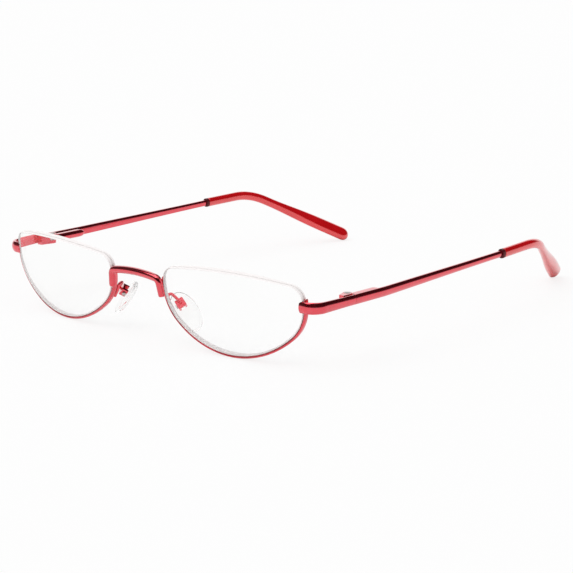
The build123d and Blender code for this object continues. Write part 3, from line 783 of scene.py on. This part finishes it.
# End pieces and temples: bars flat inside and crowned outside
barSizes = {"thickness": 1.5, "height": 2.9, "crown": 0.4, "innerCrown": 0.22, "corner": 0.3}
endSizes = {**barSizes, "inset": 0.9, "seat": 0.8, "height": 3.4, "endHeight": barSizes["height"],
            "bend": 4.0, "arcSteps": 30, "buttY": 16.0, "step": 0.4, "frontRound": 0.15, "rearRound": 0.12,
            "frontShare": 0.93, "rearShare": 0.93}
templeSizes = {**barSizes, "straight": 13.0, "rear": (63.9, 85.0, 3.1), "endThickness": 1.35,
               "endHeight": 2.0, "bend": 90.0, "arcSteps": 12, "step": 0.9, "frontRound": 0.12,
               "rearRound": 0.1, "frontShare": 0.93, "rearShare": 0.9}
tipSizes = {"bend": (62.6, 105.5, 3.5), "end": (45.84, 138.5, -14.87), "radius": 20.0, "arcSteps": 40,
            "sides": 36, "thickness": 2.5, "height": 3.0, "endThickness": 3.2, "endHeight": 4.9,
            "changeFrom": 0.45, "changeTo": 0.86, "twist": 38.0, "step": 0.7, "frontRound": 0.25,
            "rearRound": 2.6, "frontShare": 0.9, "rearShare": 0.02}
collarSizes = {"length": 1.2, "thickness": 2.4, "height": 2.9, "crown": 0.1, "innerCrown": 0.1, "corner": 0.9,
               "step": 0.3, "frontRound": 0.3, "rearRound": 0.3, "frontShare": 0.82, "rearShare": 0.9}
tangSizes = {"thickness": 1.1, "height": 1.1, "reach": 0.6, "arcSteps": 30, "sides": 20, "step": 0.7,
             "frontRound": 0.1, "rearRound": 0.4, "rearShare": 0.4}

barSection = barrelSection("barSection", barSizes)
wireSection = roundSection("wireSection", tangSizes["sides"])
sleeveSection = roundSection("sleeveSection", tipSizes["sides"])
collarSection = barrelSection("collarSection", collarSizes)

templeFront = Vector((drawing["templeX"], drawing["toTemples"], drawing["templeZ"]))
templeKnee = templeFront + Vector((0, templeSizes["straight"], 0))
templeRear = Vector(templeSizes["rear"])
tipBend, tipEnd = Vector(tipSizes["bend"]), Vector(tipSizes["end"])
templeRun = templeRear - templeKnee
tipStart = templeRear + templeRun * (collarSizes["length"] / templeRun.y)


def outside(run):
    return run.cross(up)


def inside(run):
    return up.cross(run)


def makeEndPiece(label, side, s):
    x, z = drawing["templeX"], drawing["templeZ"]
    edge = lensPoint(halfWidth, lensLevel(z), 0)
    start = Vector((edge.x - s["inset"], edge.y - s["thickness"] / 2 + s["seat"], z))
    corner, butt = Vector((x, start.y, z)), Vector((x, s["buttY"], z))
    route = roundedRoute([start, corner, butt], s["bend"], s["arcSteps"])
    return sweepBar("endPiece" + label.title(), route, s, barSection, platedRed, side, outside)


def makeTemple(label, side):
    s, t = templeSizes, tangSizes
    route = roundedRoute([templeFront, templeKnee, templeRear], s["bend"], s["arcSteps"])
    bar = sweepBar("bar", route, s, barSection, platedRed, side, outside)
    core = [templeRear - (tipBend - templeRear).normalized(), tipBend, tipBend.lerp(tipEnd, t["reach"])]
    core = roundedRoute(core, tipSizes["radius"], t["arcSteps"])
    tang = sweepBar("tang", core, t, wireSection, platedRed, side)
    return joinPieces("temple" + label.title(), [bar, tang])


def makeTip(label, side):
    route = roundedRoute([tipStart, tipBend, tipEnd], tipSizes["radius"], tipSizes["arcSteps"])
    return sweepBar("tip" + label.title(), route, tipSizes, sleeveSection, tipRed, side, inside)


def makeCollar(label, side):
    return sweepBar("collar" + label.title(), [templeRear, tipStart], collarSizes, collarSection, collarRed,
                    side, inside)


# Spring housings: brazed on the bar's inner side, rounded at the rear, bored for the slider
housingSizes = {"innerX": 62.0, "barX": 64.97, "frontY": 17.35, "rearY": 28.75, "height": 2.3,
                "crown": 0.4, "innerCrown": 0.02, "corner": 0.5, "bore": 0.85, "boreX": 63.3,
                "boreEnd": 28.05, "boreOverrun": 0.5, "boreSides": 32, "step": 0.6, "frontRound": 0.15,
                "frontShare": 0.95, "rearRound": 2.2, "rearShare": 0.35}


def makeHousing(label, side, s):
    s = {**s, "thickness": s["barX"] - s["innerX"]}
    section = barrelSection("housingSection", s)
    middle, z = (s["barX"] + s["innerX"]) / 2, drawing["templeZ"]
    route = [Vector((middle, s["frontY"], z)), Vector((middle, s["rearY"], z))]
    block = sweepBar("housing" + label.title(), route, s, section, platedRed, side,
                     lambda run: Vector((-1, 0, 0)))
    bore = bmesh.new()
    radius, depth = s["bore"] * mm, (s["boreEnd"] - s["frontY"] + s["boreOverrun"]) * mm
    bmesh.ops.create_cone(bore, cap_ends=True, segments=s["boreSides"], radius1=radius, radius2=radius,
                          depth=depth)
    spot = at(s["boreX"], (s["boreEnd"] + s["frontY"] - s["boreOverrun"]) / 2, z, side)
    bore.transform(Matrix.Translation(spot) @ Matrix.Rotation(math.pi / 2, 4, "X"))
    drill = linkObject("bore", meshFrom(bore, "bore"))
    block = cutAway(block, [drill])
    bpy.data.objects.remove(drill)
    bpy.data.objects.remove(section)
    return block


for side, label in sideNames:
    finish(makeHousing(label, side, housingSizes), "spring_housing_" + label, "frame")
    endPiece = cutAway(makeEndPiece(label, side, endSizes), [cutters[label]])
    finish(endPiece, "end_piece_" + label, "frame")
    finish(makeTemple(label, side), "temple_" + label, "frame")
    finish(makeTip(label, side), "temple_tip_" + label, "tip")
    finish(makeCollar(label, side), "tip_collar_" + label, "collar")
print("end pieces, temples and tips made")

# Nose pads: clear cushions on wire arms
padSizes = {"centre": (13.3, 2.1, -7.3), "length": 13.4, "width": 7.4, "thickness": 2.0, "splay": 46.0,
            "turn": 45.0, "mountShare": 0.17, "seam": 0.62, "domeRound": 0.7, "sideRound": 0.6,
            "backRound": 0.45, "shankLength": 1.7, "shankWidth": 1.14, "shankReach": 1.56, "shankSunk": 0.2,
            "shankBevel": 0.2, "bevelSteps": 3, "bevelProfile": 0.6, "rings": 12, "steps": 64, "sharp": 50}
armSizes = {"thickness": 0.9, "height": 0.9, "bend": 0.8, "arcSteps": 12, "footLow": 6.2, "footHigh": 1.9,
            "footOut": 0.75, "back": 1.6, "rise": 0.2, "boxGap": 0.35, "boxHeight": 1.9, "fit": 0.02,
            "step": 0.2, "frontRound": 0.3, "rearRound": 0.1, "frontShare": 0.5}

splay, facing = math.radians(padSizes["splay"]), math.radians(padSizes["turn"])
padLong = Vector((math.sin(splay), 0, -math.cos(splay)))
padNormal = Vector((-math.cos(splay) * math.sin(facing), math.cos(facing),
                    -math.sin(splay) * math.sin(facing)))
padAcross = padNormal.cross(padLong)
padBack = Vector(padSizes["centre"]) - padNormal * padSizes["thickness"] / 2
padMount = padBack - padLong * padSizes["length"] * padSizes["mountShare"]


def padMesh(name, side, s):
    # rings from the domed face over the rim to the flatter back
    rows = []
    for k in range(1, s["rings"] + 1):
        a = math.pi / 2 * k / s["rings"]
        rows.append((math.sin(a), s["seam"] + (s["thickness"] - s["seam"]) * math.cos(a) ** s["domeRound"]))
    for k in range(s["rings"] - 1, 0, -1):
        a = math.pi / 2 * k / s["rings"]
        rows.append((math.sin(a) ** s["sideRound"], s["seam"] - s["seam"] * math.cos(a) ** s["backRound"]))
    points = [padBack + padNormal * s["thickness"]]
    for grow, height in rows:
        for j in range(s["steps"]):
            a = 2 * math.pi * j / s["steps"]
            points.append(padBack + padLong * s["length"] / 2 * grow * math.cos(a)
                          + padAcross * s["width"] / 2 * grow * math.sin(a) + padNormal * height)
    points.append(padBack.copy())
    n, last = s["steps"], len(points) - 1
    faces = [(0, 1 + j, 1 + (j + 1) % n) for j in range(n)]
    for r in range(len(rows) - 1):
        a, b = 1 + r * n, 1 + r * n + n
        faces += [(a + j, b + j, b + (j + 1) % n, a + (j + 1) % n) for j in range(n)]
    faces += [(last - n + j, last, last - n + (j + 1) % n) for j in range(n)]
    mesh = bpy.data.meshes.new(name)
    mesh.from_pydata([at(*p, side) for p in points], [], faces)
    mesh.materials.append(padClear)
    return linkObject(name, mesh)


def shankMesh(side, s):
    shape = bmesh.new()
    bmesh.ops.create_cube(shape, size=1)
    for v in shape.verts:
        spot = (padMount + padLong * v.co.x * s["shankLength"] + padAcross * v.co.y * s["shankWidth"]
                + padNormal * (s["shankSunk"] - (v.co.z + 0.5) * (s["shankReach"] + s["shankSunk"])))
        v.co = at(*spot, side)
    bmesh.ops.bevel(shape, geom=shape.edges[:], offset=s["shankBevel"] * mm, segments=s["bevelSteps"],
                    affect="EDGES", profile=s["bevelProfile"])
    mesh = meshFrom(shape, "shank")
    mesh.materials.append(padClear)
    return linkObject("shank", mesh)


def rimBack(level, s):
    # the wire's foot lies along the back of the rim's cheek
    along = lensLevel(level)
    bulge = math.sqrt(lensSizes["cheekRadius"] ** 2 - (cheekLevel - along) ** 2)
    across = -cheekAcross - s["footOut"] - bulge
    behind = rimSizes["setback"] + rimSizes["height"] + s["thickness"] / 2 - s["fit"]
    return lensPoint(across, along, frontDepth(across, along, behind))


def makeArm(label, side, s):
    top = rimBack(-s["footHigh"], s)
    end = padMount - padNormal * (s["boxGap"] + s["boxHeight"] - s["fit"])
    points = [rimBack(-s["footLow"], s), rimBack(-(s["footLow"] + s["footHigh"]) / 2, s), top,
              top + Vector((s["rise"], s["back"], s["rise"])),
              end - padNormal * s["back"] / 2 + Vector((0, 0, s["rise"])), end]
    route = roundedRoute(points, s["bend"], s["arcSteps"])
    return sweepBar("padArm" + label.title(), route, s, wireSection, platedRed, side)


for side, label in sideNames:
    cushion, shank = padMesh("cushion", side, padSizes), shankMesh(side, padSizes)
    finish(joinPieces("nosePad" + label.title(), [cushion, shank]), "nose_pad_" + label, "pad",
           sharp=padSizes["sharp"])
    finish(makeArm(label, side, armSizes), "pad_arm_" + label, "frame")
print("nose pads made")


# Small machined parts: copies of the drawing's solids, welded and smoothed on their rounds
smallParts = {"frame": ("hinge_fork", "pad_box"),
              "screw": ("hinge_screw", "pad_screw", "spring_slider", "slider_nut", "spring_stop",
                        "hinge_spring")}
smallFinish = {"frame": platedRed, "screw": plainSteel}
smallTidy = {"sharp": 30, "merge": 0.0005}


def smoothCopy(node, slotName):
    source = frame["nodes"][node]
    mesh = source.data.copy()
    mesh.transform(source.matrix_world)
    mesh.materials.clear()
    mesh.materials.append(smallFinish[slotName])
    words = node.split("_")
    thing = linkObject(words[0] + "".join(w.title() for w in words[1:]), mesh)
    if mesh.has_custom_normals:
        with bpy.context.temp_override(object=thing, active_object=thing):
            bpy.ops.mesh.customdata_custom_splitnormals_clear()
    mesh.polygons.foreach_set("material_index", [0] * len(mesh.polygons))
    finish(thing, node, slotName, **smallTidy)


for slotName, parts in smallParts.items():
    for part in parts:
        for side, label in sideNames:
            smoothCopy(part + "_" + label, slotName)
print("small parts smoothed")

# each coil gets a mesh of its own; the real coil shortens towards the bush in the housing's mouth when the
# hinge flexes
for side, label in sideNames:
    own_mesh(finished["hinge_spring_" + label])

spares = (rimSection, lipSection, barSection, wireSection, sleeveSection, collarSection, *cutters.values())
for spare in spares:
    bpy.data.objects.remove(spare)
print(len(finished), "pieces of", len(frame["nodes"]), "nodes")
